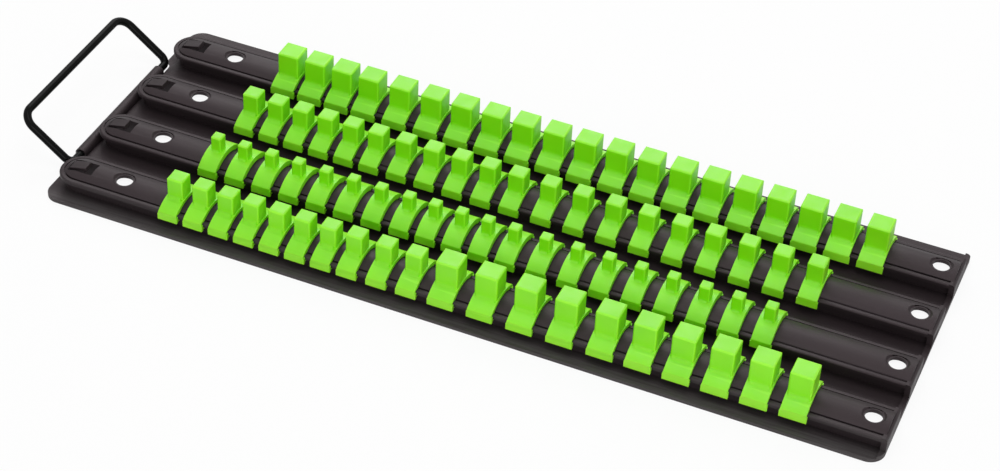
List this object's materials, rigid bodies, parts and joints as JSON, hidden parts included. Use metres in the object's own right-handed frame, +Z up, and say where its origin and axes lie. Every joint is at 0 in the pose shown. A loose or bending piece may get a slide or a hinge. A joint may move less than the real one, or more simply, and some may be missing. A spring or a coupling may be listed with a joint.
{
  "type": "socket organizer tray",
  "caption": "Flat moulded tray with four T-section rails, sliding square-drive socket clips, sprung end stops and a swinging wire handle",
  "frame": {"origin": "on the tray's underside, at the centre of the eight screw holes in plan", "axes": "X along the rails, towards the end away from the handle; Y across the rails, towards the rear row of half inch clips; Z up"},
  "size_m": [0.4901, 0.1691, 0.0287],
  "materials": {
    "black_plastic": "satin moulded black plastic",
    "green_plastic": "bright green moulded plastic, semi-gloss",
    "black_wire": "gloss black coated steel wire"
  },
  "bodies": {
    "tray": {"tray": "black_plastic"},
    "handle": {"handle": "black_wire"},
    "rear_stop_tab": {"rear_stop_tab": "black_plastic"},
    "second_stop_tab": {"second_stop_tab": "black_plastic"},
    "third_stop_tab": {"third_stop_tab": "black_plastic"},
    "front_stop_tab": {"front_stop_tab": "black_plastic"},
    "rear_clip_01": {"rear_clip_01": "green_plastic"},
    "rear_clip_02": {"rear_clip_02": "green_plastic"},
    "rear_clip_03": {"rear_clip_03": "green_plastic"},
    "rear_clips_04_05": {"rear_clips_04_05": "green_plastic"},
    "rear_clips_06_07": {"rear_clips_06_07": "green_plastic"},
    "rear_clips_08_09": {"rear_clips_08_09": "green_plastic"},
    "rear_clips_10_11": {"rear_clips_10_11": "green_plastic"},
    "rear_clips_12_13": {"rear_clips_12_13": "green_plastic"},
    "rear_clips_14_15": {"rear_clips_14_15": "green_plastic"},
    "rear_clips_16_17": {"rear_clips_16_17": "green_plastic"},
    "rear_clip_18": {"rear_clip_18": "green_plastic"},
    "rear_clip_19": {"rear_clip_19": "green_plastic"},
    "rear_clip_20": {"rear_clip_20": "green_plastic"},
    "second_clip_01": {"second_clip_01": "green_plastic"},
    "second_clip_02": {"second_clip_02": "green_plastic"},
    "second_clip_03": {"second_clip_03": "green_plastic"},
    "second_clips_04_05": {"second_clips_04_05": "green_plastic"},
    "second_clips_06_07": {"second_clips_06_07": "green_plastic"},
    "second_clips_08_09": {"second_clips_08_09": "green_plastic"},
    "second_clips_10_11": {"second_clips_10_11": "green_plastic"},
    "second_clips_12_13": {"second_clips_12_13": "green_plastic"},
    "second_clips_14_15": {"second_clips_14_15": "green_plastic"},
    "second_clips_16_17": {"second_clips_16_17": "green_plastic"},
    "second_clip_18": {"second_clip_18": "green_plastic"},
    "second_clip_19": {"second_clip_19": "green_plastic"},
    "second_clip_20": {"second_clip_20": "green_plastic"},
    "third_clip_01": {"third_clip_01": "green_plastic"},
    "third_clip_02": {"third_clip_02": "green_plastic"},
    "third_clip_03": {"third_clip_03": "green_plastic"},
    "third_clips_04_05": {"third_clips_04_05": "green_plastic"},
    "third_clips_06_07": {"third_clips_06_07": "green_plastic"},
    "third_clips_08_09": {"third_clips_08_09": "green_plastic"},
    "third_clips_10_11": {"third_clips_10_11": "green_plastic"},
    "third_clips_12_13": {"third_clips_12_13": "green_plastic"},
    "third_clips_14_15": {"third_clips_14_15": "green_plastic"},
    "third_clips_16_17": {"third_clips_16_17": "green_plastic"},
    "third_clip_18": {"third_clip_18": "green_plastic"},
    "third_clip_19": {"third_clip_19": "green_plastic"},
    "third_clip_20": {"third_clip_20": "green_plastic"},
    "front_clip_01": {"front_clip_01": "green_plastic"},
    "front_clip_02": {"front_clip_02": "green_plastic"},
    "front_clip_03": {"front_clip_03": "green_plastic"},
    "front_clips_04_05": {"front_clips_04_05": "green_plastic"},
    "front_clips_06_07": {"front_clips_06_07": "green_plastic"},
    "front_clips_08_09": {"front_clips_08_09": "green_plastic"},
    "front_clips_10_11": {"front_clips_10_11": "green_plastic"},
    "front_clips_12_13": {"front_clips_12_13": "green_plastic"},
    "front_clips_14_15": {"front_clips_14_15": "green_plastic"},
    "front_clips_16_17": {"front_clips_16_17": "green_plastic"},
    "front_clip_18": {"front_clip_18": "green_plastic"},
    "front_clip_19": {"front_clip_19": "green_plastic"},
    "front_clip_20": {"front_clip_20": "green_plastic"}
  },
  "joints": [
    {"name": "handle_hinge", "type": "hinge", "parent": "tray", "child": "handle", "pos_m": [-0.2437, 0, 0.003], "axis": [0, 1, 0], "range_deg": [-38.8, 52]},
    {"name": "rear_stop_tab_flex", "type": "hinge", "parent": "tray", "child": "rear_stop_tab", "pos_m": [-0.2359, 0.0618, 0.01156], "axis": [0, 1, 0], "range_deg": [0, 17], "stiffness_Nm_per_rad": 0.15},
    {"name": "second_stop_tab_flex", "type": "hinge", "parent": "tray", "child": "second_stop_tab", "pos_m": [-0.2359, 0.0206, 0.01156], "axis": [0, 1, 0], "range_deg": [0, 17], "stiffness_Nm_per_rad": 0.15},
    {"name": "third_stop_tab_flex", "type": "hinge", "parent": "tray", "child": "third_stop_tab", "pos_m": [-0.2359, -0.0206, 0.01156], "axis": [0, 1, 0], "range_deg": [0, 17], "stiffness_Nm_per_rad": 0.15},
    {"name": "front_stop_tab_flex", "type": "hinge", "parent": "tray", "child": "front_stop_tab", "pos_m": [-0.2359, -0.0618, 0.01156], "axis": [0, 1, 0], "range_deg": [0, 17], "stiffness_Nm_per_rad": 0.15},
    {"name": "rear_clip_01_slide", "type": "slide", "parent": "tray", "child": "rear_clip_01", "axis": [1, 0, 0], "range_m": [-0.0499, 0.0009]},
    {"name": "rear_clip_02_slide", "type": "slide", "parent": "tray", "child": "rear_clip_02", "axis": [1, 0, 0], "range_m": [-0.0009, 0.0009]},
    {"name": "rear_clip_03_slide", "type": "slide", "parent": "tray", "child": "rear_clip_03", "axis": [1, 0, 0], "range_m": [-0.0009, 0.0009]},
    {"name": "rear_clips_04_05_slide", "type": "slide", "parent": "tray", "child": "rear_clips_04_05", "axis": [1, 0, 0], "range_m": [-0.0009, 0.0022]},
    {"name": "rear_clips_06_07_slide", "type": "slide", "parent": "tray", "child": "rear_clips_06_07", "axis": [1, 0, 0], "range_m": [-0.0022, 0.0018]},
    {"name": "rear_clips_08_09_slide", "type": "slide", "parent": "tray", "child": "rear_clips_08_09", "axis": [1, 0, 0], "range_m": [-0.0018, 0.0018]},
    {"name": "rear_clips_10_11_slide", "type": "slide", "parent": "tray", "child": "rear_clips_10_11", "axis": [1, 0, 0], "range_m": [-0.0018, 0.0018]},
    {"name": "rear_clips_12_13_slide", "type": "slide", "parent": "tray", "child": "rear_clips_12_13", "axis": [1, 0, 0], "range_m": [-0.0018, 0.0018]},
    {"name": "rear_clips_14_15_slide", "type": "slide", "parent": "tray", "child": "rear_clips_14_15", "axis": [1, 0, 0], "range_m": [-0.0018, 0.0018]},
    {"name": "rear_clips_16_17_slide", "type": "slide", "parent": "tray", "child": "rear_clips_16_17", "axis": [1, 0, 0], "range_m": [-0.0018, 0.0018]},
    {"name": "rear_clip_18_slide", "type": "slide", "parent": "tray", "child": "rear_clip_18", "axis": [1, 0, 0], "range_m": [-0.0018, 0.0018]},
    {"name": "rear_clip_19_slide", "type": "slide", "parent": "tray", "child": "rear_clip_19", "axis": [1, 0, 0], "range_m": [-0.0018, 0.0018]},
    {"name": "rear_clip_20_slide", "type": "slide", "parent": "tray", "child": "rear_clip_20", "axis": [1, 0, 0], "range_m": [-0.0018, 0.0342]},
    {"name": "second_clip_01_slide", "type": "slide", "parent": "tray", "child": "second_clip_01", "axis": [1, 0, 0], "range_m": [-0.0487, 0.0017]},
    {"name": "second_clip_02_slide", "type": "slide", "parent": "tray", "child": "second_clip_02", "axis": [1, 0, 0], "range_m": [-0.0017, 0.0017]},
    {"name": "second_clip_03_slide", "type": "slide", "parent": "tray", "child": "second_clip_03", "axis": [1, 0, 0], "range_m": [-0.0017, 0.0017]},
    {"name": "second_clips_04_05_slide", "type": "slide", "parent": "tray", "child": "second_clips_04_05", "axis": [1, 0, 0], "range_m": [-0.0017, 0.0017]},
    {"name": "second_clips_06_07_slide", "type": "slide", "parent": "tray", "child": "second_clips_06_07", "axis": [1, 0, 0], "range_m": [-0.0017, 0.0024]},
    {"name": "second_clips_08_09_slide", "type": "slide", "parent": "tray", "child": "second_clips_08_09", "axis": [1, 0, 0], "range_m": [-0.0024, 0.0024]},
    {"name": "second_clips_10_11_slide", "type": "slide", "parent": "tray", "child": "second_clips_10_11", "axis": [1, 0, 0], "range_m": [-0.0024, 0.0034]},
    {"name": "second_clips_12_13_slide", "type": "slide", "parent": "tray", "child": "second_clips_12_13", "axis": [1, 0, 0], "range_m": [-0.0034, 0.0034]},
    {"name": "second_clips_14_15_slide", "type": "slide", "parent": "tray", "child": "second_clips_14_15", "axis": [1, 0, 0], "range_m": [-0.0034, 0.0034]},
    {"name": "second_clips_16_17_slide", "type": "slide", "parent": "tray", "child": "second_clips_16_17", "axis": [1, 0, 0], "range_m": [-0.0034, 0.0034]},
    {"name": "second_clip_18_slide", "type": "slide", "parent": "tray", "child": "second_clip_18", "axis": [1, 0, 0], "range_m": [-0.0034, 0.0034]},
    {"name": "second_clip_19_slide", "type": "slide", "parent": "tray", "child": "second_clip_19", "axis": [1, 0, 0], "range_m": [-0.0034, 0.0034]},
    {"name": "second_clip_20_slide", "type": "slide", "parent": "tray", "child": "second_clip_20", "axis": [1, 0, 0], "range_m": [-0.0034, 0.0566]},
    {"name": "third_clip_01_slide", "type": "slide", "parent": "tray", "child": "third_clip_01", "axis": [1, 0, 0], "range_m": [-0.0488, 0.0022]},
    {"name": "third_clip_02_slide", "type": "slide", "parent": "tray", "child": "third_clip_02", "axis": [1, 0, 0], "range_m": [-0.0022, 0.0022]},
    {"name": "third_clip_03_slide", "type": "slide", "parent": "tray", "child": "third_clip_03", "axis": [1, 0, 0], "range_m": [-0.0022, 0.0023]},
    {"name": "third_clips_04_05_slide", "type": "slide", "parent": "tray", "child": "third_clips_04_05", "axis": [1, 0, 0], "range_m": [-0.0023, 0.0023]},
    {"name": "third_clips_06_07_slide", "type": "slide", "parent": "tray", "child": "third_clips_06_07", "axis": [1, 0, 0], "range_m": [-0.0023, 0.0023]},
    {"name": "third_clips_08_09_slide", "type": "slide", "parent": "tray", "child": "third_clips_08_09", "axis": [1, 0, 0], "range_m": [-0.0023, 0.0017]},
    {"name": "third_clips_10_11_slide", "type": "slide", "parent": "tray", "child": "third_clips_10_11", "axis": [1, 0, 0], "range_m": [-0.0017, 0.0017]},
    {"name": "third_clips_12_13_slide", "type": "slide", "parent": "tray", "child": "third_clips_12_13", "axis": [1, 0, 0], "range_m": [-0.0017, 0.0029]},
    {"name": "third_clips_14_15_slide", "type": "slide", "parent": "tray", "child": "third_clips_14_15", "axis": [1, 0, 0], "range_m": [-0.0029, 0.0029]},
    {"name": "third_clips_16_17_slide", "type": "slide", "parent": "tray", "child": "third_clips_16_17", "axis": [1, 0, 0], "range_m": [-0.0029, 0.0029]},
    {"name": "third_clip_18_slide", "type": "slide", "parent": "tray", "child": "third_clip_18", "axis": [1, 0, 0], "range_m": [-0.0029, 0.0029]},
    {"name": "third_clip_19_slide", "type": "slide", "parent": "tray", "child": "third_clip_19", "axis": [1, 0, 0], "range_m": [-0.0029, 0.0029]},
    {"name": "third_clip_20_slide", "type": "slide", "parent": "tray", "child": "third_clip_20", "axis": [1, 0, 0], "range_m": [-0.0029, 0.0678]},
    {"name": "front_clip_01_slide", "type": "slide", "parent": "tray", "child": "front_clip_01", "axis": [1, 0, 0], "range_m": [-0.0478, 0.0016]},
    {"name": "front_clip_02_slide", "type": "slide", "parent": "tray", "child": "front_clip_02", "axis": [1, 0, 0], "range_m": [-0.0016, 0.0016]},
    {"name": "front_clip_03_slide", "type": "slide", "parent": "tray", "child": "front_clip_03", "axis": [1, 0, 0], "range_m": [-0.0016, 0.0016]},
    {"name": "front_clips_04_05_slide", "type": "slide", "parent": "tray", "child": "front_clips_04_05", "axis": [1, 0, 0], "range_m": [-0.0016, 0.0016]},
    {"name": "front_clips_06_07_slide", "type": "slide", "parent": "tray", "child": "front_clips_06_07", "axis": [1, 0, 0], "range_m": [-0.0016, 0.0016]},
    {"name": "front_clips_08_09_slide", "type": "slide", "parent": "tray", "child": "front_clips_08_09", "axis": [1, 0, 0], "range_m": [-0.0016, 0.0025]},
    {"name": "front_clips_10_11_slide", "type": "slide", "parent": "tray", "child": "front_clips_10_11", "axis": [1, 0, 0], "range_m": [-0.0025, 0.0035]},
    {"name": "front_clips_12_13_slide", "type": "slide", "parent": "tray", "child": "front_clips_12_13", "axis": [1, 0, 0], "range_m": [-0.0035, 0.0035]},
    {"name": "front_clips_14_15_slide", "type": "slide", "parent": "tray", "child": "front_clips_14_15", "axis": [1, 0, 0], "range_m": [-0.0035, 0.0028]},
    {"name": "front_clips_16_17_slide", "type": "slide", "parent": "tray", "child": "front_clips_16_17", "axis": [1, 0, 0], "range_m": [-0.0028, 0.0028]},
    {"name": "front_clip_18_slide", "type": "slide", "parent": "tray", "child": "front_clip_18", "axis": [1, 0, 0], "range_m": [-0.0028, 0.0027]},
    {"name": "front_clip_19_slide", "type": "slide", "parent": "tray", "child": "front_clip_19", "axis": [1, 0, 0], "range_m": [-0.0027, 0.0027]},
    {"name": "front_clip_20_slide", "type": "slide", "parent": "tray", "child": "front_clip_20", "axis": [1, 0, 0], "range_m": [-0.0027, 0.0362]}
  ]
}
